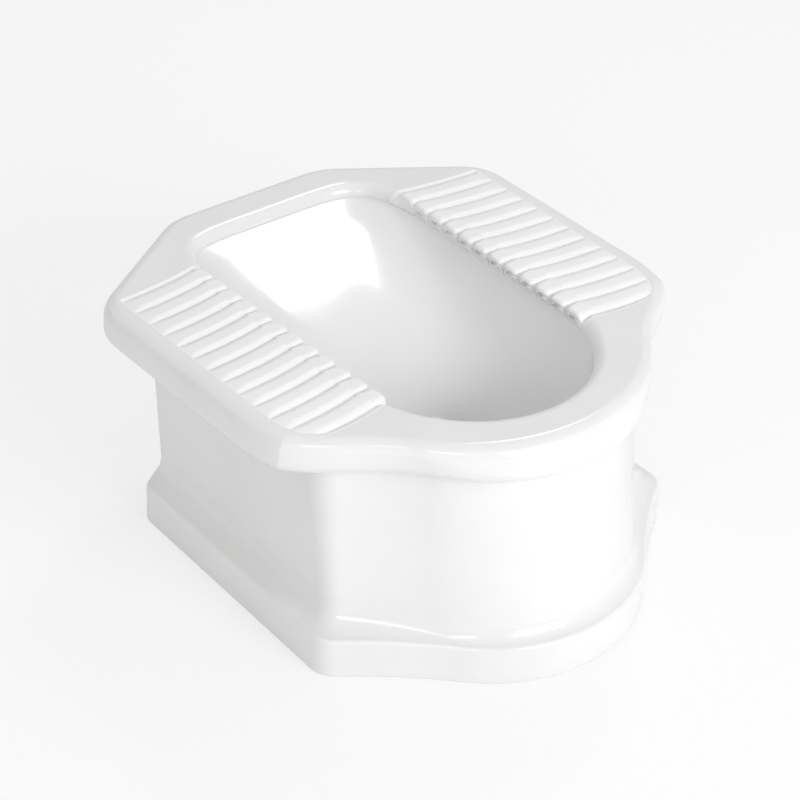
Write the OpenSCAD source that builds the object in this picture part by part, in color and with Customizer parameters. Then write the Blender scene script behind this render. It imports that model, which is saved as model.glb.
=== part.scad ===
// Raised squat pan: glazed china with ribbed foot treads, on a hollow pedestal with a stepped plinth.
// The china members are drawn as they are cast and stuck together before firing: deck, treads,
// basin, trap bends, pedestal and plinth. +Z is up, +Y is the wall side, the floor is z = 0 and
// the origin is under the middle of the length.

/* [Deck] */
// Height from the floor to the flat of the deck
deck_h = 241.5; // [230:0.5:300]
// Width of the deck across its straight sides
deck_w = 458; // [430:1:560]
// Length of the deck's top from its rear edge to its nose
deck_l = 502; // [490:1:600]
// Depth of the deck's edge
deck_edge = 38.5; // [34:0.5:50]
// Radius along the deck's top edge
deck_round = 12; // [6:0.5:13]
// Radius along the deck's lower edge
under_round = 14; // [8:0.5:16]
// How far the deck's sides lean out towards its lower edge
edge_lean = 2; // [0:0.5:3]
// How far the deck's nose leans forward towards its lower edge
nose_lean = 10.5; // [6:0.5:12]
// Half the length of the straight rear edge
rear_half = 88.5; // [80:0.5:110]
// How far each rear chamfer runs along the side
chamfer_run = 93; // [80:1:110]
// Radius of the deck's nose
deck_nose_r = 179; // [165:1:190]
// Distance from the nose tip back to the front corners
corner_back = 121; // [115:1:130]

/* [China] */
// Wall of the deck plate and its edge
plate_t = 12; // [10:0.5:13]
// Wall of the pedestal and the plinth
skirt_t = 11; // [9:0.5:14]
// Wall of the basin and the trap
bowl_t = 8; // [7:0.5:10]

/* [Basin] */
// Half the width of the mouth
mouth_half = 119; // [105:1:122]
// Rim left between the mouth and the deck's rear edge
rear_rim = 48; // [44:1:60]
// Rim left between the mouth and the deck's nose
nose_rim = 48; // [44:1:60]
// Distance from the nose tip back to the mouth's widest place
wide_back = 181; // [170:1:200]
// Radius of the mouth's lip
lip_r = 11.5; // [6:0.5:11.5]
// Distance from the nose tip back to the middle of the drain
drain_back = 175; // [160:1:195]

/* [Treads] */
// Ridges on each tread
ridges = 12; // [8:1:12]
// Distance from groove to groove
ridge_pitch = 22.8; // [19:0.1:23.5]
// How far the ridge crowns stand above the deck
ridge_rise = 2; // [1:0.1:4]
// How far the grooves lie below the deck
groove_depth = 2.5; // [1:0.1:3.5]
// How far each groove sweeps towards the nose on its way out
groove_sweep = 9; // [0:0.5:12]
// Flat left between the treads and the deck's sides
tread_margin = 19; // [13:0.5:25]
// Distance from the deck's rear edge to the first groove
tread_back = 95; // [88:1:104]

/* [Trap] */
// Radius of the waterway
trap_r = 30; // [25:0.5:34]
// Depth of the water seal
water_seal = 25; // [20:1:35]
// Height of the trap and its outlet above the floor
foot_gap = 6; // [4:1:12]
// Lean of the rising leg from upright
leg_lean = 30; // [25:1:40]
// Outer radius of the rubber seal on the outlet
seal_r = 52; // [48:0.5:60]
// Height of the rubber seal
seal_h = 24; // [18:1:30]

/* [Pedestal] */
// How far the pedestal is set in from the deck's sides
side_inset = 43.5; // [36:0.5:52]
// How far it is set in from the deck's rear edge
rear_inset = 41; // [36:1:48]
// How far it is set in from the deck's rear chamfers
chamfer_inset = 36.5; // [34:0.5:44]
// How far the pedestal's sides draw in towards the plinth
side_taper = 1; // [0:0.5:8]
// Angle by which the sides close in towards the wall at the floor
wall_taper = 0.9; // [0:0.1:2]
// How far its nose is set in under the deck's
nose_inset = 11; // [9:0.5:16]
// How far its nose leans forward towards the plinth
nose_rake = 18; // [8:0.5:20]
// Radius of the pedestal's nose
pedestal_nose_r = 150; // [140:1:155]
// How far the plinth stands out at the sides and the rear
plinth_step = 20.5; // [16:0.5:24]
// How far the plinth's nose stands out past the deck's nose
plinth_lead = 26; // [22:1:32]
// Height of the plinth's upright face
plinth_h = 39; // [30:1:50]
// Height of the cove above it
cove_h = 23; // [15:1:30]
// Draft of the plinth's face
plinth_draft = 0.5; // [0:0.5:3]

/* [Hidden] */
$fn = 64;

china = "white";
rubber = "dimgray";

// Levels above the floor
soffit_z = deck_h - deck_edge;
plate_z = deck_h - plate_t;
cove_z = plinth_h + cove_h;

// Places along the length, about the middle of the whole object
rear_y = (deck_l + plinth_lead) / 2;
nose_y = rear_y - deck_l;
plinth_nose_y = nose_y - plinth_lead;

// The rear chamfer's outward normal, and its distance from the origin on the deck
chamfer_turn = atan2(deck_w / 2 - rear_half, chamfer_run);
chamfer_out = cos(chamfer_turn) * deck_w / 2 + sin(chamfer_turn) * (rear_y - chamfer_run);

// Radii of the corners in plan: side, rear and front
deck_corners = [50, 68, 72];
under_corners = [50, 68, 52];
top_corners = [18, 18, 34];
skirt_corners = [18, 18, 26];
// How hollow the flare is between the nose and the front corner, in degrees
deck_flare = 21.5;
under_flare = 22;
top_flare = 14;
skirt_flare = 7;
plinth_flare = 6.5;
// Radius of the deck's nose along its lower edge, and how much further back its front corners lie there
under_nose_r = 142;
under_back = 5.5;
// Radius of the pedestal's nose under the deck
top_nose_r = 140;
// How far the front corners lie in front of the deck's: at the pedestal's top, at its foot and on the plinth
top_lead = -12;
foot_lead = 2;
step_lead = 19.5;
// Share of the wall taper that is left at the pedestal's top
top_share = 0.25;

// A plan outline is [half width, rear, chamfer distance, nose, nose radius, front corner, flare, corner radii]
deck_plan = [deck_w / 2, rear_y, chamfer_out, nose_y, deck_nose_r, nose_y + corner_back, deck_flare,
             deck_corners];
under_plan = [deck_w / 2 + edge_lean, rear_y, chamfer_out + edge_lean, nose_y - nose_lean,
              under_nose_r, nose_y + corner_back + under_back, under_flare, under_corners];
top_half = deck_w / 2 - side_inset;
// The chamfers draw in more than the sides do, and the plinth stands out less there
chamfer_taper = 3;
chamfer_step = 9;
foot_chamfer = chamfer_out - chamfer_inset - chamfer_taper;
pedestal_top = [top_half, rear_y - rear_inset, chamfer_out - chamfer_inset, nose_y + nose_inset,
                top_nose_r, nose_y + corner_back - top_lead, top_flare, top_corners];
pedestal_foot = [top_half - side_taper, rear_y - rear_inset - side_taper, foot_chamfer,
                 nose_y + nose_inset - nose_rake, pedestal_nose_r, nose_y + corner_back - foot_lead,
                 skirt_flare, skirt_corners];
plinth_half = top_half - side_taper + plinth_step + plinth_draft;
plinth_plan = [plinth_half, pedestal_foot[1] + plinth_step, foot_chamfer + chamfer_step, plinth_nose_y,
               pedestal_nose_r, nose_y + corner_back - step_lead, plinth_flare, skirt_corners];

nose_steps = 11;
flare_steps = 5;
corner_steps = 4;
// Extra points on the deck's straight sides, so that the lip of the mouth follows its curve
deck_fill = 5;

// Points on an arc, both ends included
function arc(c, r, from, to, steps) =
    [for (i = [0:steps]) let (a = from + (to - from) * i / steps) c + r * [cos(a), sin(a)]];

// Points between two others, with neither of them
function between(a, b, count) = [for (i = [1:1:count]) mix(a, b, i / (count + 1))];

// Right half of a plan outline set in by d, from the nose tip round to the middle of the rear edge
function half_plan(p, d, fill) =
    let (w = p[0] - d)
    let (nose = [0, p[3] + p[4]])
    let (gx = p[0])
    let (gy = p[5] - nose[1])
    // Where a straight tangent from the front corner would touch the nose
    let (touch = atan2(gy, gx) - acos(p[4] / norm([gx, gy])))
    let (flare = 90 + touch - p[6])
    let (fr = (gx * gx + gy * gy - p[4] * p[4]) / (2 * (p[4] - gx * sin(flare) + gy * cos(flare))))
    let (fc = nose + [gx + fr * sin(flare), gy - fr * cos(flare)])
    let (nose_end = atan2(fc[1] - nose[1], fc[0]))
    // Rounded front corner between the flare and the straight side
    let (rg = max(p[7][2] - d, 1))
    let (gc = [w - rg, fc[1] + sqrt(pow(fr + d + rg, 2) - pow(fc[0] - w + rg, 2))])
    let (flare_end = atan2(gc[1] - fc[1], gc[0] - fc[0]))
    // Rounded corners at both ends of the chamfer
    let (ra = max(p[7][0] - d, 1))
    let (rb = max(p[7][1] - d, 1))
    let (ax = w - ra)
    let (ac = [ax, (p[2] - d - ra - cos(chamfer_turn) * ax) / sin(chamfer_turn)])
    let (by = p[1] - d - rb)
    let (bc = [(p[2] - d - rb - sin(chamfer_turn) * by) / cos(chamfer_turn), by])
    let (front = arc(gc, rg, flare_end - 180, 0, corner_steps))
    let (side = arc(ac, ra, 0, chamfer_turn, corner_steps))
    let (rear = arc(bc, rb, chamfer_turn, 90, corner_steps))
    concat(
        arc(nose, p[4] - d, -90, nose_end, nose_steps),
        // The flare starts where the nose ends, so its first point is left out
        [for (i = [1:flare_steps]) arc(fc, fr + d, 180 + nose_end, flare_end, flare_steps)[i]],
        [for (i = [1:corner_steps]) front[i]],
        between(front[corner_steps], side[0], fill),
        side,
        between(side[corner_steps], rear[0], fill),
        rear,
        between(rear[corner_steps], [0, p[1] - d], fill > 0 ? 2 : 0));

// The whole outline, anticlockwise from the nose tip
function plan(p, d, fill = 0) =
    let (right = half_plan(p, d, fill))
    concat(right, [for (i = [len(right) - 1:-1:1]) [-right[i][0], right[i][1]]]);

// A pedestal outline set in by d, whose sides close in behind the front corners by a share of the wall taper
function skirt(p, d, share = 1) =
    let (slope = share * tan(wall_taper) / top_half)
    [for (q = plan(p, d)) [q[0] * (1 - slope * max(0, q[1] - p[5])), q[1]]];

function mix(a, b, t) = a * (1 - t) + b * t;
function at_z(points, z) = [for (q = points) [q[0], q[1], z]];

// Basin mouth: two half superellipses that meet at its widest place, square at the rear and round at the nose
mouth_rear = rear_y - rear_rim;
mouth_nose = nose_y + nose_rim;
mouth_wide = nose_y + wide_back;
rear_square = 6.5;
nose_square = 2.05;

function signed_pow(v, e) = sign(v) * pow(abs(v), e);

// Half the width of the mouth at a place along its length
function mouth_at(y) =
    let (n = y > mouth_wide ? rear_square : nose_square)
    let (b = y > mouth_wide ? mouth_rear - mouth_wide : mouth_wide - mouth_nose)
    mouth_half * pow(max(0, 1 - pow(abs(y - mouth_wide) / b, n)), 1 / n);

// Mouth outline grown by g, one point on the ray to each point of a plan outline
function mouth_on(points, g) =
    [for (q = points)
        let (v = q - [0, mouth_wide])
        let (u = v / norm(v))
        let (n = u[1] > 0 ? rear_square : nose_square)
        let (b = (u[1] > 0 ? mouth_rear - mouth_wide : mouth_wide - mouth_nose) + g)
        let (r = pow(pow(abs(u[0]) / (mouth_half + g), n) + pow(abs(u[1]) / b, n), -1 / n))
        [0, mouth_wide] + u * r];

// Closed ring of china: profile rings in order, outer face upwards, over the top and down inside
module ring_loft(rings) {
    n = len(rings[0]);
    m = len(rings);
    points = [for (r = rings) for (q = r) q];
    faces = [for (i = [0:m - 1]) for (j = [0:n - 1])
        let (k = (i + 1) % m)
        let (l = (j + 1) % n)
        each [[i * n + j, k * n + l, i * n + l], [i * n + j, k * n + j, k * n + l]]];
    polyhedron(points, faces, convexity = 6);
}

/* Treads: ridges are bands between grooves that sweep towards the nose and wrap over the lip of the mouth */
groove_in_rear = 121;
groove_in_taper = 7;
tip_reach = 4;
tip_run = 6;
tip_proud = 2;
tip_spare = 5;
// Thickness of a tread over the deck plate; its tips go right through the plate
tread_t = 7;
tip_share = 0.16;
tread_out = deck_w / 2 - tread_margin;
// How far the last ridges are cut back at the deck's front corner, and how many of them
corner_trim = 17;
corner_ridges = 2;
tread_start = rear_y - tread_back;
// Where each ridge is cut across: from groove to groove, and from the basin outwards
across = [0, 0.09, 0.24, 0.76, 0.91];
along = [0, 0.03, 0.07, 0.11, tip_share, 0.22, 0.45, 0.8, 0.92, 1];
fade_from = 0.8;

// Height of a ridge between its grooves, from 0 in the groove to 1 on the crown
function crown(v) = 1 - pow(abs(2 * (v - floor(v)) - 1), 4);

// Outer end of a ridge
function tread_end(v) = tread_out - corner_trim * pow(max(0, 1 - (ridges - v) / corner_ridges), 2);

// Drop of the lip at a distance e outside the mouth
function lip_drop(e) = lip_r - sqrt(pow(lip_r, 2) - pow(lip_r - min(max(e, 0), lip_r), 2));

// Where the ridges and grooves start, outwards from the mouth
function tip_at(v) = groove_in_rear - groove_in_taper * v / ridges - tip_reach * crown(v);

// Place across the deck and along it of a point of a tread: ridge count v, share u of the way out
function tread_place(v, u, spare = 0) =
    let (y = tread_start - v * ridge_pitch)
    let (over = min(1, max(0, 1 - (tip_at(v) - mouth_at(y)) / tip_run)))
    let (wall = mouth_at(y) - tip_proud * over * crown(v) - (u == 0 ? spare : 0))
    [mix(wall, tread_end(v), u), y - groove_sweep * (1 - pow(1 - u, 2))];
function tread_point(v, u) =
    let (q = tread_place(v, u))
    let (start = min(1, max(0, (q[0] - tip_at(v)) / tip_run + 0.5)))
    let (fade = start * (1 - pow(max(0, (u - fade_from) / (1 - fade_from)), 2)))
    [q[0], q[1], deck_h - lip_drop(q[0] - mouth_at(q[1]))
                 + fade * (crown(v) * (ridge_rise + groove_depth) - groove_depth)];
function tread_seat(v, u, spare) =
    let (q = tread_place(v, u, spare))
    [q[0], q[1], u < tip_share ? plate_z : deck_h - tread_t];
tread_cuts = concat([for (k = [0:ridges - 1]) for (s = across) k + s], [ridges]);

// Solid between a tread's seat and a top, both as grids of points; the tips may reach past the wall by spare
module tread_block(top, spare = 0) {
    cols = len(along);
    rows = len(tread_cuts);
    count = rows * cols;
    seat = [for (v = tread_cuts) for (u = along) tread_seat(v, u, spare)];
    // Round the edge: out along the rear end, down the outer side, in along the front end, up the tips
    edge = concat(
        [for (j = [0:cols - 2]) j],
        [for (i = [0:rows - 2]) i * cols + cols - 1],
        [for (j = [cols - 1:-1:1]) (rows - 1) * cols + j],
        [for (i = [rows - 1:-1:1]) i * cols]);
    faces = concat(
        [for (i = [0:rows - 2]) for (j = [0:cols - 2])
            let (a = i * cols + j)
            let (b = a + cols)
            each [[a, a + 1, b + 1], [a, b + 1, b],
                  [count + a, count + b + 1, count + a + 1], [count + a, count + b, count + b + 1]]],
        [for (k = [0:len(edge) - 1])
            let (a = edge[k])
            let (b = edge[(k + 1) % len(edge)])
            each [[a, count + b, b], [a, count + a, count + b]]]);
    polyhedron(concat(top, seat), faces, convexity = 10);
}

module tread() {
    tread_block([for (v = tread_cuts) for (u = along) tread_point(v, u)]);
}

module right_tread() {
    color(china)
        tread();
}

module left_tread() {
    color(china)
        mirror([1, 0, 0])
            tread();
}

/* Deck: a plate with a down-turned edge, a rounded lip round the mouth and a pocket for each tread */
function deck_ring(d, z) =
    let (t = (deck_h - z) / deck_edge)
    at_z(mix(plan(deck_plan, d, deck_fill), plan(under_plan, d, deck_fill), t), z);

// Wall round the open underside, clear of the rounding below it
edge_wall = max(plate_t, under_round + 1);

module deck() {
    outline = plan(deck_plan, 0, deck_fill);
    edge = [for (a = [0:30:90]) deck_ring(under_round * (1 - sin(a)), soffit_z + under_round * (1 - cos(a)))];
    shoulder = [for (a = [0:18:90]) deck_ring(deck_round * (1 - cos(a)), deck_h - deck_round * (1 - sin(a)))];
    lip = [for (a = [0:22.5:90]) at_z(mouth_on(outline, lip_r * (1 - sin(a))),
                                      deck_h - lip_r * (1 - cos(a)))];
    foot = deck_ring(edge_wall, soffit_z);
    inside = [at_z(mouth_on(outline, 0), plate_z), at_z(foot, plate_z), foot];
    // Once its pockets are cut it is held to its stated width and depth
    widest = deck_w + 2 * edge_lean * (1 - under_round / deck_edge);
    color(china)
        resize([widest, 0, deck_edge])
            difference() {
                ring_loft(concat(edge, shoulder, lip, inside));
                for (side = [0, 1])
                    mirror([side, 0, 0])
                        tread_block(at_z([for (v = tread_cuts) for (u = along) tread_place(v, u, tip_spare)],
                                         deck_h + ridge_rise + 1), tip_spare);
            }
}

// Flat underside that closes the hollow overhang and seats on the pedestal's top
soffit_lap = 8;

module deck_soffit() {
    color(china)
        translate([0, 0, soffit_z])
            linear_extrude(height = bowl_t)
                difference() {
                    polygon([for (q = deck_ring(edge_wall, soffit_z)) [q[0], q[1]]]);
                    polygon(skirt(pedestal_top, skirt_t + soffit_lap, top_share));
                }
}

/* Trap: a dip under the drain, a rising leg, a crown over the weir and a leg down to the floor */
trap_out = trap_r + bowl_t;
bend_r = trap_out + 4;
drain_y = nose_y + drain_back;
dip_z = foot_gap + trap_out + bend_r;
dip_y = drain_y + bend_r;
crown_z = foot_gap + trap_out + trap_r + water_seal + trap_r - bend_r;
leg_len = (crown_z - dip_z + 2 * bend_r * sin(leg_lean)) / cos(leg_lean);
leg_y = dip_y + bend_r * cos(leg_lean);
leg_z = dip_z - bend_r * sin(leg_lean);
crown_y = leg_y + leg_len * sin(leg_lean) + bend_r * cos(leg_lean);
outlet_y = crown_y + bend_r;
throat_len = 12;
throat_z = dip_z + throat_len;

module pipe_wall() {
    difference() {
        circle(r = trap_out);
        circle(r = trap_r);
    }
}

module pipe(length) {
    linear_extrude(height = length)
        pipe_wall();
}

// Bend in the plane of the length: angles run from the nose side, down for the dip, up for the crown
module bend(turn, from) {
    rotate([turn, 0, -90])
        rotate([0, 0, from])
            rotate_extrude(angle = 180 - leg_lean)
                translate([bend_r, 0])
                    pipe_wall();
}

module throat() {
    color(china)
        translate([0, drain_y, dip_z])
            pipe(throat_len);
}

module trap_dip() {
    color(china)
        translate([0, dip_y, dip_z])
            bend(-90, 0);
}

module trap_upleg() {
    color(china)
        translate([0, leg_y, leg_z])
            rotate([-leg_lean, 0, 0])
                pipe(leg_len);
}

module trap_crown() {
    color(china)
        translate([0, crown_y, crown_z])
            bend(90, leg_lean);
}

module outlet_leg() {
    color(china)
        translate([0, outlet_y, foot_gap])
            pipe(crown_z - foot_gap);
}

// Rubber ring on the outlet with three soft fins that press into the floor pipe
module outlet_seal() {
    fin_w = 4;
    fin_gap = (seal_h - fin_w) / 2;
    core = trap_out + 5;
    color(rubber)
        translate([0, outlet_y, foot_gap])
            rotate_extrude()
                union() {
                    translate([trap_out, 0])
                        square([core - trap_out, seal_h]);
                    for (k = [0:2])
                        translate([core, k * fin_gap])
                            square([seal_r - core, fin_w]);
                }
}

/* Basin: sections drop from the mouth to the drain, steep at the nose and as a long ramp at the rear */
basin_points = 48;
basin_rings = 12;
drain_z = throat_z + bowl_t;
ramp_gap = 5;
ramp_clear = bend_r + trap_out + 1.2 * bowl_t + ramp_gap;
// The ramp passes over the trap's crown at this point, which sets how hollow the ramp is
ramp_view = 50;
ramp_y = crown_y - ramp_clear * cos(ramp_view);
ramp_z = crown_z + ramp_clear * sin(ramp_view);
ramp_run = (mouth_rear - ramp_y) / (mouth_rear - drain_y - trap_r);
ramp_power = ln(1 - ramp_run) / ln(1 - (plate_z - ramp_z) / (plate_z - drain_z));

// Section at depth share t, grown by g
function basin_section(t, g, z) =
    let (rear = mix(mouth_rear, drain_y + trap_r, 1 - pow(1 - t, ramp_power)) + g)
    let (front = mix(mouth_nose, drain_y - trap_r, 1 - sqrt(max(0, 1 - pow(t, 3)))) - g)
    let (half = mix(mouth_half, trap_r, pow(t, 1.3)) + g)
    let (share = (mouth_wide - mouth_nose) / (mouth_rear - mouth_nose))
    let (mid = mix(front, rear, mix(share, 0.5, t)))
    [for (k = [0:basin_points - 1])
        let (a = 360 * k / basin_points)
        let (n = mix(a < 180 ? rear_square : nose_square, 2, pow(t, 0.6)))
        let (reach = a < 180 ? rear - mid : mid - front)
        [half * signed_pow(cos(a), 2 / n), mid + reach * signed_pow(sin(a), 2 / n), z]];

module basin() {
    shares = [for (k = [0:basin_rings]) sin(90 * k / basin_rings)];
    depth = plate_z - drain_z;
    inner = [for (k = [0:basin_rings]) basin_section(shares[k], 0, plate_z - depth * shares[k])];
    outer = [for (k = [basin_rings:-1:0])
        let (t = shares[k])
        basin_section(t, bowl_t, plate_z - depth * t - bowl_t * min(1, 4 * t))];
    neck = [basin_section(1, 0, throat_z)];
    color(china)
        ring_loft(concat(outer, inner, neck));
}

/* Pedestal, cove and plinth: one hollow skirt with an open foot */
module pedestal() {
    color(china)
        ring_loft([
            at_z(skirt(pedestal_foot, 0), cove_z),
            at_z(skirt(pedestal_top, 0, top_share), soffit_z),
            at_z(skirt(pedestal_top, skirt_t, top_share), soffit_z),
            at_z(skirt(pedestal_foot, skirt_t), cove_z)]);
}

// Hollow curve from the pedestal's foot out to the plinth
module cove() {
    foot = skirt(pedestal_foot, 0);
    step = skirt(plinth_plan, plinth_draft);
    sweep = [for (a = [0:18:90]) at_z(mix(step, foot, sin(a)), plinth_h + cove_h * (1 - cos(a)))];
    color(china)
        ring_loft(concat(
            sweep,
            [at_z(skirt(pedestal_foot, skirt_t), cove_z),
             at_z(skirt(pedestal_foot, skirt_t), plinth_h)]));
}

module plinth() {
    color(china)
        ring_loft([
            at_z(skirt(plinth_plan, 0), 0),
            at_z(skirt(plinth_plan, plinth_draft), plinth_h),
            at_z(skirt(pedestal_foot, skirt_t), plinth_h),
            at_z(skirt(pedestal_foot, skirt_t), 0)]);
}

deck();
deck_soffit();
left_tread();
right_tread();
basin();
throat();
trap_dip();
trap_upleg();
trap_crown();
outlet_leg();
outlet_seal();
pedestal();
cove();
plinth();
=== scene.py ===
"""Raised squat pan in white glazed china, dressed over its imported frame."""
import math

import bpy
import numpy as np
from mathutils import Matrix, Vector


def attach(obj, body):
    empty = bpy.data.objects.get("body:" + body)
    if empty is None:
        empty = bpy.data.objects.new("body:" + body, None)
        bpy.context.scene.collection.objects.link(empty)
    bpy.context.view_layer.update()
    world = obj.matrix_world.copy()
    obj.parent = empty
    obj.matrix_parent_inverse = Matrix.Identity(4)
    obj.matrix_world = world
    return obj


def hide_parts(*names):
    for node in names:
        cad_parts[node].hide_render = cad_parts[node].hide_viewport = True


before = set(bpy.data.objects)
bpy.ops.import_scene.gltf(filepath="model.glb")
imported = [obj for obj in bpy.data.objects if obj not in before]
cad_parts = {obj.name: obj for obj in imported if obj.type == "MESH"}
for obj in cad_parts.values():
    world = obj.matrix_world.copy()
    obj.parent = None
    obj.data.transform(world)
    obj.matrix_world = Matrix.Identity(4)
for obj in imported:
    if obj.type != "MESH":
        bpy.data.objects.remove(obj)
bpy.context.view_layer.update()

MM = 0.001

# ---------------------------------------------------------------- sizes in millimetres
deck_h, deck_edge, deck_half = 241.5, 38.5, 229.0
rear_y, nose_y = 264.0, -238.0
rear_half, chamfer_run = 88.5, 93.0
deck_round, under_round, plate_t, skirt_t, bowl_t = 12.0, 14.0, 12.0, 11.0, 8.0
mouth_half, mouth_rear, mouth_nose, mouth_wide, lip_r = 119.0, 216.0, -190.0, -57.0, 11.5
rear_square, nose_square = 6.5, 2.05
drain_y, trap_r = -63.0, 30.0
ridges, ridge_pitch, tread_start, groove_sweep = 12, 22.8, 169.0, 9.0
ridge_rise, groove_depth = 1.62, 3.2
tread_out, corner_trim, corner_ridges = 210.0, 17.0, 2
groove_in_rear, groove_in_taper, tip_reach = 121.0, 7.0, 4.0
plinth_h, cove_h, plinth_draft = 39.0, 23.0, 0.5
wall_taper, top_share = 0.9, 0.25
deck_crisp, tip_round = 0.06, 3.2

soffit_z = deck_h - deck_edge
plate_z = deck_h - plate_t
cove_z = plinth_h + cove_h
chamfer_turn = math.atan2(deck_half - rear_half, chamfer_run)
chamfer_out = math.cos(chamfer_turn) * deck_half + math.sin(chamfer_turn) * (rear_y - chamfer_run)
corner_y = nose_y + 121.0
edge_wall = max(plate_t, under_round + 1)
foot_chamfer = chamfer_out - 39.5

# Half width, rear, chamfer distance, nose, nose radius, front corner, flare in degrees,
# and the radii of the side, rear and front corners
deck_plan = (deck_half, rear_y, chamfer_out, nose_y, 179.0, corner_y, 21.5, (50, 68, 125))
under_plan = (deck_half + 1.99, rear_y, chamfer_out + 2, nose_y - 10.5, 142.0,
              corner_y + 5.5, 22.0, (50, 68, 110))
pedestal_top = (185.5, rear_y - 41, chamfer_out - 36.5, nose_y + 11, 140.0,
                corner_y + 12, 14.0, (18, 18, 34))
pedestal_foot = (184.5, rear_y - 42, foot_chamfer, nose_y - 7, 150.0,
                 corner_y - 2, 7.0, (18, 18, 26))
plinth_plan = (205.5, rear_y - 21.5, foot_chamfer + 9, nose_y - 26, 150.0,
               corner_y - 19.5, 6.5, (18, 18, 26))


def smooth(t):
    """A share that eases in and out between 0 and 1."""
    t = np.clip(t, 0, 1)
    return t * t * (3 - 2 * t)


# ---------------------------------------------------------------- outlines in plan
def arc(centre, r, start, end, steps):
    a = np.linspace(start, end, steps + 1)
    return np.c_[centre[0] + r * np.cos(a), centre[1] + r * np.sin(a)]


def straight(a, b, steps):
    t = np.linspace(0, 1, steps + 1)[:, None]
    return np.asarray(a) * (1 - t) + np.asarray(b) * t


nose_steps, flare_steps, front_steps, side_steps, turn_steps, chamfer_steps = 40, 20, 16, 30, 12, 16
crisp_power = 1.6


def half_outline(plan, inset, fine=1, crisp=0.0):
    """Right half of a plan outline, from the nose tip round to the middle of the rear edge."""
    width, rear, chamfer, tip, nose_r, front_y, flare, radii = plan
    w = width - inset
    nose = np.array([0.0, tip + nose_r])
    gx, gy = width, front_y - nose[1]
    touch = math.atan2(gy, gx) - math.acos(nose_r / math.hypot(gx, gy))
    lean = math.pi / 2 + touch - math.radians(flare)
    flare_gap = nose_r - gx * math.sin(lean) + gy * math.cos(lean)
    flare_r = (gx * gx + gy * gy - nose_r * nose_r) / (2 * flare_gap)
    flare_c = nose + [gx + flare_r * math.sin(lean), gy - flare_r * math.cos(lean)]
    nose_end = math.atan2(flare_c[1] - nose[1], flare_c[0])
    side_r, rear_r, front_r = [max(r - inset, 1) for r in radii]
    reach = flare_r + inset + front_r
    front_c = [w - front_r, flare_c[1] + math.sqrt(reach ** 2 - (flare_c[0] - w + front_r) ** 2)]
    flare_end = math.atan2(front_c[1] - flare_c[1], front_c[0] - flare_c[0])
    c, s = math.cos(chamfer_turn), math.sin(chamfer_turn)
    side_c = [w - side_r, (chamfer - inset - side_r - c * (w - side_r)) / s]
    rear_c = [(chamfer - inset - rear_r - s * (rear - inset - rear_r)) / c, rear - inset - rear_r]
    # A crisp turn in the middle of the front corner's easy curve
    front_corner = arc(front_c, front_r, flare_end - math.pi, 0, front_steps * fine)
    middle = 1 - np.abs(np.linspace(-1, 1, len(front_corner)))
    front_corner = front_c + (front_corner - front_c) * (1 + crisp * middle ** crisp_power)[:, None]
    chamfer_dir = np.array([c, s])
    runs = [
        arc(nose, nose_r - inset, -math.pi / 2, nose_end, nose_steps * fine),
        arc(flare_c, flare_r + inset, math.pi + nose_end, flare_end, flare_steps * fine),
        front_corner,
        straight([w, front_c[1]], [w, side_c[1]], side_steps * fine),
        arc(side_c, side_r, 0, chamfer_turn, turn_steps * fine),
        straight(side_c + side_r * chamfer_dir, rear_c + rear_r * chamfer_dir, chamfer_steps * fine),
        arc(rear_c, rear_r, chamfer_turn, math.pi / 2, turn_steps * fine),
        straight([rear_c[0], rear - inset], [0, rear - inset], turn_steps * fine)]
    return np.vstack([runs[0]] + [r[1:] for r in runs[1:]])


def at(points, places):
    """Points at fractional places along a row of points."""
    steps = np.arange(len(points))
    return np.c_[np.interp(places, steps, points[:, 0]), np.interp(places, steps, points[:, 1])]


def mirrored(half_rings):
    """Closed rings from right halves that run from the nose to the rear."""
    half_rings = np.asarray(half_rings)
    left = half_rings[:, -2:0:-1].copy()
    left[:, :, 0] *= -1
    return np.concatenate([half_rings, left], axis=1)


# ---------------------------------------------------------------- mouth of the bowl
def mouth_form(v):
    """Squareness and reach of the mouth's half on the side of v, its distance from the widest place."""
    return (np.where(v > 0, rear_square, nose_square),
            np.where(v > 0, mouth_rear - mouth_wide, mouth_wide - mouth_nose))


def mouth_at(y):
    """Half width of the mouth."""
    n, b = mouth_form(y - mouth_wide)
    return mouth_half * np.maximum(0, 1 - np.abs((y - mouth_wide) / b) ** n) ** (1 / n)


def mouth_normal(p):
    """Directions in plan that point squarely out of the mouth's edge."""
    v = p[:, 1] - mouth_wide
    n, b = mouth_form(v)
    g = np.c_[np.abs(p[:, 0] / mouth_half) ** (n - 1) / mouth_half,
              np.abs(v / b) ** (n - 1) / b * np.sign(v)]
    return g / np.linalg.norm(g, axis=1)[:, None]


def mouth_run(y_from, y_to, count):
    """Points on the right side of the mouth, evenly spaced along it, both ends included."""
    a = np.linspace(0, math.pi, 6001)
    up = -np.cos(a)
    n, b = mouth_form(up)
    curve = np.c_[mouth_half * np.abs(np.sin(a)) ** (2 / n),
                  mouth_wide + b * np.sign(up) * np.abs(up) ** (2 / n)]
    run = np.r_[0, np.cumsum(np.linalg.norm(np.diff(curve, axis=0), axis=1))]
    lo, hi = np.interp([y_from, y_to], curve[:, 1], run)
    s = np.linspace(lo, hi, count)
    return np.c_[np.interp(s, run, curve[:, 0]), np.interp(s, run, curve[:, 1])]


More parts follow.
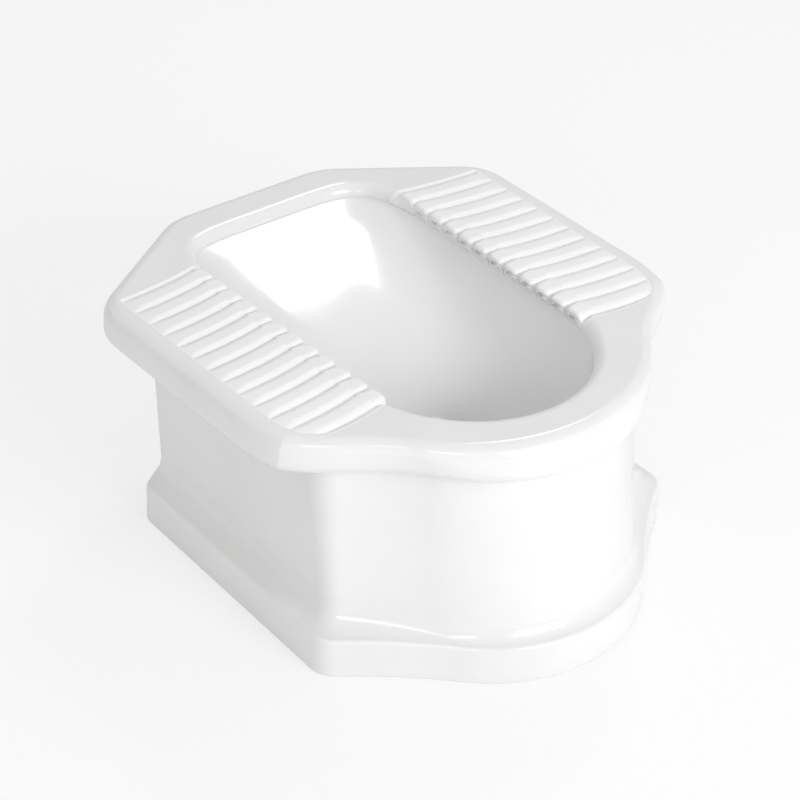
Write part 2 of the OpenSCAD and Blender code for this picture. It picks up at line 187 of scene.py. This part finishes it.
# ---------------------------------------------------------------- lines from the mouth out over the deck
per_ridge, end_room, blend_lines = 18, 0.3, 24
least_slant, shoulder_room, least_room = 0.35, 6, 2.5
flat_share = 0.8
tread_v = np.linspace(ridges + end_room, -end_room, int((ridges + 2 * end_room) * per_ridge) + 1)
tread_y = tread_start - tread_v * ridge_pitch
front_lines, rear_lines = 100, 80
mouth = np.vstack([mouth_run(mouth_nose, tread_y[0], front_lines)[:-1],
                   np.c_[mouth_at(tread_y), tread_y],
                   mouth_run(tread_y[-1], mouth_rear, rear_lines)[1:]])
mouth[0] = [0, mouth_nose]
mouth[-1] = [0, mouth_rear]
first = front_lines - 1
last = first + len(tread_v) - 1
lines = len(mouth)
row = np.arange(lines)
in_tread = (row >= first) & (row <= last)
line_v = np.full(lines, -end_room)
line_v[:first] = ridges + end_room
line_v[in_tread] = tread_v

belongs = np.where(row < first, smooth(1 - (first - row) / blend_lines),
                   np.where(row > last, smooth(1 - (row - last) / blend_lines), 1.0))
out = mouth_normal(mouth)
out[0], out[-1] = [0, -1], [0, 1]
heading = out * (1 - belongs[:, None]) + np.array([1.0, 0.0]) * belongs[:, None]
heading /= np.linalg.norm(heading, axis=1)[:, None]
slant = np.maximum((out * heading).sum(1), least_slant)
lip_end = mouth + heading * (lip_r / slant)[:, None]
tread_end = tread_out - corner_trim * np.maximum(0, 1 - (ridges - line_v) / corner_ridges) ** 2

# Where each line leaves the flat of the deck for its shoulder
fine = 3
flat_edge = half_outline(deck_plan, deck_round, fine, deck_crisp)
target = np.c_[tread_end, mouth[:, 1] - groove_sweep]
places = np.zeros(lines)
for k in range(first, last + 1):
    places[k] = np.argmin(np.linalg.norm(flat_edge - target[k] - [shoulder_room, 0], axis=1))
places[first:last + 1] = np.maximum.accumulate(places[first:last + 1])
window = 31
pad = np.pad(places[first:last + 1], window // 2, mode="reflect", reflect_type="odd")
places[first:last + 1] = np.convolve(pad, np.ones(window) / window, mode="valid")


def eased(start, end, count, slope):
    """Rises from start to end over count steps, and has a given slope at its end."""
    t = np.linspace(0, 1, count + 1)
    k = slope * count / (end - start)
    return start + (end - start) * (t + (k - 1) * (t ** 3 - t ** 2))


slope_lines, least_slope, crowding = 6, 0.05, 2.5
front_slope = max(least_slope, places[first + slope_lines] - places[first]) / slope_lines
rear_slope = max(least_slope, places[last] - places[last - slope_lines]) / slope_lines
rear_span = len(flat_edge) - 1 - places[last]
rear_count = lines - 1 - last
front_slope = min(front_slope, crowding * places[first] / first)
rear_slope = min(rear_slope, crowding * rear_span / rear_count)
places[:first + 1] = eased(0, places[first], first, front_slope)
places[last:] = len(flat_edge) - 1 - eased(0, rear_span, rear_count, rear_slope)[::-1]
places = np.maximum.accumulate(places)
shoulder_start = at(flat_edge, places)
outward = shoulder_start - at(half_outline(deck_plan, deck_round + 1, fine, deck_crisp), places)
outward /= np.linalg.norm(outward, axis=1)[:, None]
onward = np.c_[-outward[:, 1], outward[:, 0]]
room = np.minimum(((target - shoulder_start) * outward).sum(1), -least_room)
slide = ((target - shoulder_start) * onward).sum(1)
for end, beyond in ((first, slice(0, first)), (last, slice(last + 1, lines))):
    room[beyond] = room[end]
    slide[beyond] = slide[end] * belongs[beyond]
target = shoulder_start + outward * room[:, None] + onward * slide[:, None]
plain_end = lip_end + (shoulder_start - lip_end) * flat_share
flat_end = plain_end * (1 - belongs[:, None]) + target * belongs[:, None]

# ---------------------------------------------------------------- rings from the lip to the lower edge
lip_angles = np.radians(np.linspace(90, 0, 12))
across = np.r_[np.linspace(0, 0.25, 12)[1:], np.linspace(0.25, 0.75, 10)[1:],
               np.linspace(0.75, 1, 8)[1:]]
crown_power, groove_run_out, lift_lead, lift_run = 5, 4.5, 2.5, 6
fade_from, fade_run = 0.8, 0.2


def crown(v):
    """Share of a ridge's height across it: flat on top, with a narrow groove at each whole number."""
    return 1 - np.abs(2 * (v - np.floor(v)) - 1) ** crown_power


inside = in_tread & (line_v >= 0) & (line_v <= ridges)
past = np.maximum(np.maximum(line_v - ridges, -line_v), 0) * ridge_pitch
height = np.where(inside, crown(line_v) * (ridge_rise + groove_depth) - groove_depth,
                  -groove_depth * (1 - smooth(past / groove_run_out)))
height[~in_tread] = 0
tread_in = groove_in_rear - groove_in_taper * np.clip(line_v, 0, ridges) / ridges
start_x = tread_in - tip_reach * crown(line_v) * inside
start_out = (start_x - mouth[:, 0]) * slant
round_path = lip_r * (math.pi / 2 - np.arcsin(np.clip(1 - start_out / lip_r, -1, 1)))
start_path = np.where(start_out < lip_r, round_path, lip_r * math.pi / 2 + start_out - lip_r)


def lift(path):
    """Height of the treads over the plain deck at a distance along each line from the wall of the mouth."""
    return height * smooth((path - start_path + lift_lead) / lift_run)


# A ridge keeps its height right up to the mouth, where it ends in a small round tip
tip_share = np.where(inside, crown(line_v), 0)
tip_x = tread_in - tip_reach
tip_angles = np.linspace(0, math.pi / 2, 7)


def tip_ring(step):
    """One ring of the ridges' inner ends, as distance along the line and height over the deck."""
    reach = (tip_x - mouth[:, 0]) * slant
    tip_steps = len(tip_angles)
    if step == 0:
        return np.zeros(lines), np.full(lines, -lip_r)
    if step > tip_steps:
        start = reach + tip_round
        run_share = (step - tip_steps) / (len(lip_angles) - 1 - tip_steps)
        return start + (lip_r - start) * run_share, np.full(lines, ridge_rise)
    b = tip_angles[step - 1]
    return reach + tip_round * (1 - math.cos(b)), ridge_rise - tip_round * (1 - math.sin(b))


rings = []
for step, a in enumerate(lip_angles):
    up = lift(lip_r * (math.pi / 2 - a))
    plain_out = lip_r * (1 - math.sin(a)) - up * math.sin(a) * slant
    plain_z = -lip_r * (1 - math.cos(a)) + up * math.cos(a)
    ridge_out, ridge_z = tip_ring(step)
    out_by = plain_out + (ridge_out - plain_out) * tip_share
    rings.append(np.c_[mouth + heading * (out_by / slant)[:, None],
                       deck_h + plain_z + (ridge_z - plain_z) * tip_share])
span = flat_end - lip_end
span_run = np.linalg.norm(span, axis=1)
for u in across:
    bow = groove_sweep * belongs * ((1 - (1 - u) ** 2) - u)
    p = lip_end + span * u + np.c_[np.zeros(lines), -bow]
    fade = 1 - np.clip((u - fade_from) / fade_run, 0, 1) ** 2
    up = lift(lip_r * math.pi / 2 + span_run * u) * fade
    rings.append(np.c_[p, deck_h + up])
tread_rings = len(rings)
for u in (0.5, 1.0):
    rings.append(np.c_[flat_end + (shoulder_start - flat_end) * u, np.full(lines, deck_h)])


def edge_ring(inset, z):
    """One ring of the deck's edge, which leans out from the deck's plan to that of its underside."""
    t = (deck_h - z) / deck_edge
    over = at(half_outline(deck_plan, inset, fine, deck_crisp), places)
    under = at(half_outline(under_plan, inset, fine, deck_crisp), places)
    return np.c_[over * (1 - t) + under * t, np.full(lines, z)]


# Half way between a round shoulder and one with a crisp edge where a round one stands at 45 degrees
round_middle = 0.293
for a in np.radians(np.linspace(90, 0, 15))[1:]:
    turn_share = 1 - a / (math.pi / 2)
    fall = (1 - math.sin(a) + np.interp(turn_share, (0, 0.5, 1), (0, round_middle, 1))) / 2
    inset = (1 - math.cos(a) + np.interp(turn_share, (0, 0.5, 1), (1, round_middle, 0))) / 2
    rings.append(edge_ring(deck_round * inset, deck_h - deck_round * fall))
for z in np.linspace(deck_h - deck_round, soffit_z + under_round, 4)[1:]:
    rings.append(edge_ring(0, z))
for a in np.radians(np.linspace(0, 90, 9))[1:]:
    rings.append(edge_ring(under_round * (1 - math.cos(a)), soffit_z + under_round * (1 - math.sin(a))))
outer = np.array(rings)

# ---------------------------------------------------------------- basin
bend_room, floor_gap, throat_run = 4, 6, 12
bend_r = trap_r + bowl_t + bend_room
throat_z = floor_gap + trap_r + bowl_t + bend_r + throat_run
drain_z = throat_z + bowl_t
ramp_power, front_power, half_power, round_power = 1.94759, 3, 1.3, 0.35
seat_gap = 2.6
v = mouth[:, 1] - mouth_wide
turn, half_reach = mouth_form(v)
c_share = np.clip(np.abs(mouth[:, 0]) / mouth_half, 0, 1) ** (turn / 2)
s_share = np.clip(np.abs(v) / half_reach, 0, 1) ** (turn / 2)
whole = np.hypot(c_share, s_share)
c_share, s_share = c_share / whole, s_share / whole * np.sign(v)
wide_share = (mouth_wide - mouth_nose) / (mouth_rear - mouth_nose)


def basin_ring(t, grow, z):
    """One ring of the bowl, from the squared mouth (t = 0) to the round drain (t = 1)."""
    rear = mouth_rear + (drain_y + trap_r - mouth_rear) * (1 - (1 - t) ** ramp_power) + grow
    fall = 1 - math.sqrt(max(0, 1 - t ** front_power))
    front = mouth_nose + (drain_y - trap_r - mouth_nose) * fall - grow
    half = mouth_half + (trap_r - mouth_half) * t ** half_power + grow
    share = wide_share + (0.5 - wide_share) * t
    mid = front + (rear - front) * share
    n = np.where(s_share > 0, rear_square, nose_square) * (1 - t ** round_power) + 2 * t ** round_power
    reach = np.where(s_share > 0, rear - mid, mid - front)
    return np.c_[half * np.abs(c_share) ** (2 / n),
                 mid + reach * np.sign(s_share) * np.abs(s_share) ** (2 / n), np.full(lines, z)]


depth = plate_z - drain_z
shares = np.sin(np.linspace(0, math.pi / 2, 34))
bowl_in = [basin_ring(t, 0, plate_z - depth * t) for t in shares[::-1]]
neck = [basin_ring(1, 0, throat_z), basin_ring(1, 0, drain_z - seat_gap)]
# Outside the wall the ring drops by the wall's thickness within the first quarter
bowl_out = [basin_ring(t, bowl_t, plate_z - depth * t - bowl_t * min(1, 4 * t)) for t in shares[::-3]]


# ---------------------------------------------------------------- closed meshes with their own normals
def normals_of(grid):
    """Smooth normals of rings that run anticlockwise and go outwards and then down."""
    along = np.roll(grid, -1, axis=1) - np.roll(grid, 1, axis=1)
    n = np.cross(np.gradient(grid, axis=0), along)
    return n / np.maximum(np.linalg.norm(n, axis=2), 1e-12)[:, :, None]


def quads_of(grid, normals, cells=None, flip=False, mat=0):
    """The quads between the rings of a grid: corner points, corner normals and material numbers."""
    r, k = np.meshgrid(np.arange(grid.shape[0] - 1), np.arange(grid.shape[1]), indexing="ij")
    r, k = r.ravel(), k.ravel()
    if cells is not None:
        keep = cells[r, k]
        r, k = r[keep], k[keep]
    k2 = (k + 1) % grid.shape[1]
    corners = [(r, k), (r + 1, k), (r + 1, k2), (r, k2)]
    if flip:
        corners = corners[::-1]
    return (np.stack([grid[a, b] for a, b in corners], axis=1),
            np.stack([normals[a, b] for a, b in corners], axis=1) * (-1 if flip else 1),
            np.full(len(r), mat))


def strip(a, b, mat=0):
    """Flat-shaded quads between two closed rows of points."""
    a, b = np.vstack([a, a[:1]]), np.vstack([b, b[:1]])
    p = np.stack([a[:-1], b[:-1], b[1:], a[1:]], axis=1)
    n = np.cross(p[:, 2] - p[:, 0], p[:, 3] - p[:, 1])
    n /= np.maximum(np.linalg.norm(n, axis=1), 1e-12)[:, None]
    return p, np.repeat(n[:, None], 4, axis=1), np.full(len(p), mat)


def make_piece(name, patches, materials):
    """One closed mesh from patches, welded where they meet."""
    points = np.concatenate([p[0] for p in patches])
    turned = np.concatenate([p[1] for p in patches]).reshape(-1, 3)
    mats = np.concatenate([p[2] for p in patches])
    unique, index = np.unique(np.round(points.reshape(-1, 3), 3), axis=0, return_inverse=True)
    faces, kept, loops = [], [], []
    for i, q in enumerate(index.reshape(-1, 4).tolist()):
        picks = [j for j in range(4) if q[j] != q[j - 1]]
        if len(picks) > 2 and len({q[j] for j in picks}) == len(picks):
            faces.append([q[j] for j in picks])
            kept.append(i)
            loops.extend(4 * i + j for j in picks)
    mesh = bpy.data.meshes.new(name)
    mesh.from_pydata((unique * MM).tolist(), [], faces)
    for m in materials:
        mesh.materials.append(m)
    mesh.polygons.foreach_set("material_index", mats[kept].astype(np.int32))
    mesh.polygons.foreach_set("use_smooth", np.ones(len(faces), bool))
    mesh.update()
    mesh.normals_split_custom_set(turned[loops].tolist())
    piece = bpy.data.objects.new(name, mesh)
    bpy.context.scene.collection.objects.link(piece)
    return piece


# ---------------------------------------------------------------- materials
noise_range = (0.35, 0.65)
grain_scale, surface_ior, coat_ior, coat_rough = 900.0, 1.52, 1.5, 0.04


def finish_material(name, low, high, rough, spots, waves, wave_height, grain=0.0, coat=0.0):
    """A fired or moulded finish: its colour, roughness and surface drift a little."""
    m = bpy.data.materials.new(name)
    m.use_nodes = True
    nodes, links = m.node_tree.nodes, m.node_tree.links
    shader = nodes["Principled BSDF"]
    place = nodes.new("ShaderNodeTexCoord").outputs["Object"]

    def noise(scale, detail, rough_share=0.5):
        n = nodes.new("ShaderNodeTexNoise")
        n.inputs["Scale"].default_value = scale
        n.inputs["Detail"].default_value = detail
        n.inputs["Roughness"].default_value = rough_share
        links.new(place, n.inputs["Vector"])
        return n.outputs["Fac"]

    def ranged(value, low_to, high_to):
        r = nodes.new("ShaderNodeMapRange")
        r.inputs["From Min"].default_value, r.inputs["From Max"].default_value = noise_range
        r.inputs["To Min"].default_value = low_to
        r.inputs["To Max"].default_value = high_to
        links.new(value, r.inputs["Value"])
        return r.outputs["Result"]

    def bump(value, distance, under=None):
        b = nodes.new("ShaderNodeBump")
        b.inputs["Strength"].default_value = 1.0
        b.inputs["Distance"].default_value = distance
        links.new(value, b.inputs["Height"])
        if under:
            links.new(under, b.inputs["Normal"])
        return b.outputs["Normal"]

    mix = nodes.new("ShaderNodeMix")
    mix.data_type = "RGBA"
    mix.inputs[6].default_value = (*low, 1)
    mix.inputs[7].default_value = (*high, 1)
    links.new(ranged(noise(spots, 3.0, 0.55), 0, 1), mix.inputs[0])
    links.new(mix.outputs[2], shader.inputs["Base Color"])
    links.new(ranged(noise(spots * 2.3, 2.0), *rough), shader.inputs["Roughness"])
    turned = bump(noise(waves, 1.0, 0.4), wave_height)
    if grain:
        turned = bump(noise(grain_scale, 2.0, 0.6), grain, turned)
    links.new(turned, shader.inputs["Normal"])
    shader.inputs["IOR"].default_value = surface_ior
    if coat:
        shader.inputs["Coat Weight"].default_value = coat
        shader.inputs["Coat Roughness"].default_value = coat_rough
        shader.inputs["Coat IOR"].default_value = coat_ior
    return m


glaze = finish_material("white_glaze", (0.80, 0.80, 0.797), (0.825, 0.825, 0.82),
                        rough=(0.13, 0.2), spots=9.0, waves=16.0, wave_height=0.0006, coat=0.4)
# Painted light: the treads' glaze is the deck's white china painted lighter (0.86 against 0.80), to stand
# in for their brightly lit ridge tops; its higher roughness and missing coat are real finish settings
painted_light_tread_glaze = finish_material("painted_light_tread_glaze", (0.86, 0.86, 0.855), (0.885, 0.885, 0.88),
                              rough=(0.32, 0.42), spots=9.0, waves=30.0, wave_height=0.0004)
bisque = finish_material("bare_china", (0.68, 0.665, 0.635), (0.75, 0.735, 0.705),
                         rough=(0.55, 0.75), spots=14.0, waves=60.0, wave_height=0.0006, grain=0.00015)
seal_rubber = finish_material("seal_rubber", (0.03, 0.03, 0.032), (0.05, 0.05, 0.052),
                              rough=(0.5, 0.7), spots=30.0, waves=90.0, wave_height=0.0003, grain=0.0001)

# ---------------------------------------------------------------- deck and treads
top = mirrored(np.concatenate([bowl_in, outer]))
bowl_rings = len(bowl_in)
top_n = normals_of(top)
count = top.shape[1]
cols = np.arange(count)
right_cells = (cols >= first) & (cols < last)
left_cells = (cols >= count - last) & (cols < count - first)
deck_cells = np.zeros((top.shape[0] - 1, count), bool)
deck_cells[bowl_rings - 1:] = True
tread_cells = np.zeros_like(deck_cells)
r0, r1 = bowl_rings, bowl_rings + tread_rings - 1
tread_cells[r0:r1] = True
tread_t = 5.0


def rim_of(g):
    """The outer points of a patch, once round."""
    return np.vstack([g[0], g[1:, -1], g[-1, -2::-1], g[-2:0:-1, 0]])


def block(cells, flip):
    """Seat and walls of a tread, shared by the deck's pocket (flip) and the tread itself."""
    ks = np.nonzero(cells)[0]
    ks = np.r_[ks, ks[-1] + 1] % count
    high = top[r0:r1 + 1][:, ks]
    low_n = -top_n[r0:r1 + 1][:, ks]
    low = high - [0, 0, tread_t]
    r, k = np.meshgrid(np.arange(len(low) - 1), np.arange(len(ks) - 1), indexing="ij")
    r, k = r.ravel(), k.ravel()
    corners = [(r, k), (r, k + 1), (r + 1, k + 1), (r + 1, k)]
    if flip:
        corners, low_n = corners[::-1], -low_n
    seat = (np.stack([low[a, b] for a, b in corners], axis=1),
            np.stack([low_n[a, b] for a, b in corners], axis=1), np.zeros(len(r), int))
    if flip:
        return [seat, strip(rim_of(high), rim_of(low))]
    return [seat, strip(rim_of(low), rim_of(high))]


# Each tread wears the lighter glaze that paints in the light on its ridge tops
def tread_piece(name, cells):
    return make_piece(name, [quads_of(top, top_n, tread_cells & cells)] + block(cells, False),
                      [painted_light_tread_glaze])


inner = mirrored([edge_ring(edge_wall, soffit_z)])[0]
inner_up = inner.copy()
inner_up[:, 2] = plate_z
deck_skin = quads_of(top, top_n, deck_cells & ~(tread_cells & (right_cells | left_cells)))
deck_patches = [deck_skin, strip(top[-1], inner, 1), strip(inner, inner_up, 1),
                strip(inner_up, top[bowl_rings - 1], 1)]
for side in (right_cells, left_cells):
    deck_patches += block(side, True)
deck = make_piece("glazed_deck", deck_patches, [glaze, bisque])
right_tread = tread_piece("ridged_tread_right", right_cells)
left_tread = tread_piece("ridged_tread_left", left_cells)

# ---------------------------------------------------------------- bowl
inside_rings = mirrored(neck + bowl_in)
inside_n = normals_of(inside_rings)
inside_n[len(neck):] = top_n[:bowl_rings]
shell = mirrored(bowl_out)
bowl = make_piece("glazed_bowl", [
    quads_of(inside_rings, inside_n),
    strip(shell[0], inside_rings[0], 1),
    quads_of(shell, normals_of(shell), flip=True, mat=1),
    strip(inside_rings[-1], shell[-1], 1)], [glaze, bisque])


# ---------------------------------------------------------------- pedestal, cove and plinth
def skirt(plan, inset, share, z):
    """Half a ring of the body, which narrows a little towards the rear."""
    p = half_outline(plan, inset)
    slope = share * math.tan(math.radians(wall_taper)) / pedestal_top[0]
    return np.c_[p[:, 0] * (1 - slope * np.maximum(0, p[:, 1] - plan[5])), p[:, 1], np.full(len(p), z)]


def between(a, b, t, z):
    """A ring part of the way from one to another, at its own height."""
    p = a * (1 - t) + b * t
    p[:, 2] = z
    return p


edge_r, fillet, cove_run = 4.5, 4.0, 19
wall_h = soffit_z - cove_z


def wall_ring(grow, drop):
    """One ring of the pedestal's wall, a distance below the soffit."""
    return between(skirt(pedestal_top, -grow, top_share, 0), skirt(pedestal_foot, -grow, 1, 0),
                   drop / wall_h, soffit_z - drop)


body = [wall_ring(fillet * (1 - math.sin(a)), fillet * (1 - math.cos(a)))
        for a in np.radians((0, 20, 40, 60, 75, 90))]
body += [wall_ring(0, soffit_z - z) for z in np.linspace(soffit_z - fillet, cove_z, 12)[1:]]
foot, step = skirt(pedestal_foot, 0, 1, cove_z), skirt(plinth_plan, plinth_draft, 1, plinth_h)
sweep = [between(step, foot, math.sin(a), plinth_h + cove_h * (1 - math.cos(a)))
         for a in np.linspace(math.pi / 2, math.asin(edge_r / cove_run), 14)[1:]]
rim_z = sweep[-1][0, 2]
edge = [skirt(plinth_plan, plinth_draft + edge_r * (1 - math.cos(a)), 1,
              rim_z - edge_r * (1 - math.sin(a)))
        for a in np.radians(np.linspace(90, 0, 8))[1:]]
face_heights, toe_ease, toe_inset = (24, 12, 1.5), 0.45, 1.5
edge += [skirt(plinth_plan, plinth_draft * z / plinth_h, 1, z) for z in face_heights]
edge += [skirt(plinth_plan, toe_ease, 1, toe_ease), skirt(plinth_plan, toe_inset, 1, 0)]
skin = mirrored(body + sweep + edge)
skin_n = normals_of(skin)
walls = {z: mirrored([skirt(pedestal_foot, skirt_t, 1, z)])[0] for z in (0.0, plinth_h, cove_z)}
inner_head = mirrored([skirt(pedestal_top, skirt_t, top_share, soffit_z)])[0]


def ring_piece(name, top_row, bottom_row, high_wall, low_wall):
    """A hollow piece of the body between two rows of its skin and two rings of its inner wall."""
    cells = np.zeros((skin.shape[0] - 1, skin.shape[1]), bool)
    cells[top_row:bottom_row] = True
    return make_piece(name, [
        quads_of(skin, skin_n, cells), strip(skin[bottom_row], low_wall, 1),
        strip(low_wall, high_wall, 1), strip(high_wall, skin[top_row], 1)], [glaze, bisque])


foot_row, rim_row = len(body) - 1, len(body) + len(sweep) - 1
pedestal = ring_piece("glazed_pedestal", 0, foot_row, inner_head, walls[cove_z])
cove = ring_piece("glazed_cove", foot_row, rim_row, walls[cove_z], walls[plinth_h])
plinth = ring_piece("glazed_plinth", rim_row, len(skin) - 1, walls[plinth_h], walls[0.0])

for piece, node in ((deck, "deck"), (right_tread, "right_tread"), (left_tread, "left_tread"),
                    (bowl, "basin"), (pedestal, "pedestal"), (cove, "cove"), (plinth, "plinth")):
    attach(piece, "root")
    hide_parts(node)

for name in ("deck_soffit", "throat", "trap_dip", "trap_upleg", "trap_crown", "outlet_leg",
             "outlet_seal"):
    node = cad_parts[name]
    for held in node.material_slots:
        held.material = seal_rubber if name == "outlet_seal" else bisque

# ---------------------------------------------------------------- floor, camera and light
scene = bpy.context.scene
floor_half, floor_white, seen_glow = 9, 0.93, 0.6
mesh = bpy.data.meshes.new("floor")
mesh.from_pydata([(-floor_half, -floor_half, 0), (floor_half, -floor_half, 0),
                  (floor_half, floor_half, 0), (-floor_half, floor_half, 0)], [], [(0, 1, 2, 3)])
floor = bpy.data.objects.new("floor", mesh)
scene.collection.objects.link(floor)
paper = bpy.data.materials.new("white_paper")
paper.use_nodes = True
nodes, links = paper.node_tree.nodes, paper.node_tree.links
matt = nodes["Principled BSDF"]
matt.inputs["Base Color"].default_value = (floor_white, floor_white, floor_white, 1)
matt.inputs["Roughness"].default_value = 0.9
glow = nodes.new("ShaderNodeEmission")
glow.inputs["Color"].default_value = (1, 1, 1, 1)
glow.inputs["Strength"].default_value = 1.0
path = nodes.new("ShaderNodeLightPath")
share = nodes.new("ShaderNodeMath")
share.operation = "MULTIPLY"
share.inputs[1].default_value = seen_glow
blend = nodes.new("ShaderNodeMixShader")
links.new(path.outputs["Is Camera Ray"], share.inputs[0])
links.new(share.outputs[0], blend.inputs[0])
links.new(matt.outputs[0], blend.inputs[1])
links.new(glow.outputs[0], blend.inputs[2])
links.new(blend.outputs[0], nodes["Material Output"].inputs["Surface"])
mesh.materials.append(paper)

# Turns in radians, place in metres, focal length in pixels of the picture's width
yaw, pitch, roll = -0.6858, 0.5977, 0.0307
camera_place = (-1.1922, -1.4426, 1.4121)
focal_px, picture_px, sensor = 2432.4, 800, 36
back_axis = Vector((math.sin(yaw) * math.cos(pitch), -math.cos(yaw) * math.cos(pitch), math.sin(pitch)))
flat_right = Vector((math.cos(yaw), math.sin(yaw), 0))
flat_up = back_axis.cross(flat_right)
right_axis = math.cos(roll) * flat_right + math.sin(roll) * flat_up
up_axis = -math.sin(roll) * flat_right + math.cos(roll) * flat_up
data = bpy.data.cameras.new("camera")
data.sensor_width = sensor
data.lens = focal_px * sensor / picture_px
data.clip_end = 50
camera = bpy.data.objects.new("camera", data)
place = Matrix((right_axis, up_axis, back_axis)).transposed().to_4x4()
place.translation = camera_place
camera.matrix_world = place
scene.collection.objects.link(camera)
scene.camera = camera

scene.view_settings.view_transform = "Standard"
room_light = 0.66
world = bpy.data.worlds.new("studio")
scene.world = world
world.use_nodes = True
nodes, links = world.node_tree.nodes, world.node_tree.links
nodes.clear()
room = nodes.new("ShaderNodeBackground")
room.inputs["Color"].default_value = (1, 1, 1, 1)
room.inputs["Strength"].default_value = room_light
white = nodes.new("ShaderNodeBackground")
white.inputs["Color"].default_value = (1, 1, 1, 1)
white.inputs["Strength"].default_value = 1.0
seen = nodes.new("ShaderNodeLightPath")
choose = nodes.new("ShaderNodeMixShader")
final = nodes.new("ShaderNodeOutputWorld")
links.new(seen.outputs["Is Camera Ray"], choose.inputs[0])
links.new(room.outputs[0], choose.inputs[1])
links.new(white.outputs[0], choose.inputs[2])
links.new(choose.outputs[0], final.inputs["Surface"])

lamp_aim, lamp_distance = Vector((0, 0, 0.15)), 3.0


def soft_box(name, direction, width, tall, power):
    """A square-on lamp with a soft edge, that faces the pan from a given direction."""
    lamp = bpy.data.lights.new(name, "AREA")
    lamp.shape = "RECTANGLE"
    lamp.size, lamp.size_y = width, tall
    lamp.energy = power
    stand = bpy.data.objects.new(name, lamp)
    d = Vector(direction).normalized()
    stand.location = lamp_aim + d * lamp_distance
    stand.rotation_euler = d.to_track_quat("Z", "Y").to_euler()
    scene.collection.objects.link(stand)


soft_box("front", (0.08, -0.9, 0.43), 1.6, 1.2, 38)
soft_box("rear_right", (0.5, 0.36, 0.79), 0.5, 0.75, 9)
soft_box("front_left", (-0.64, -0.64, 0.43), 0.8, 0.6, 6.5)
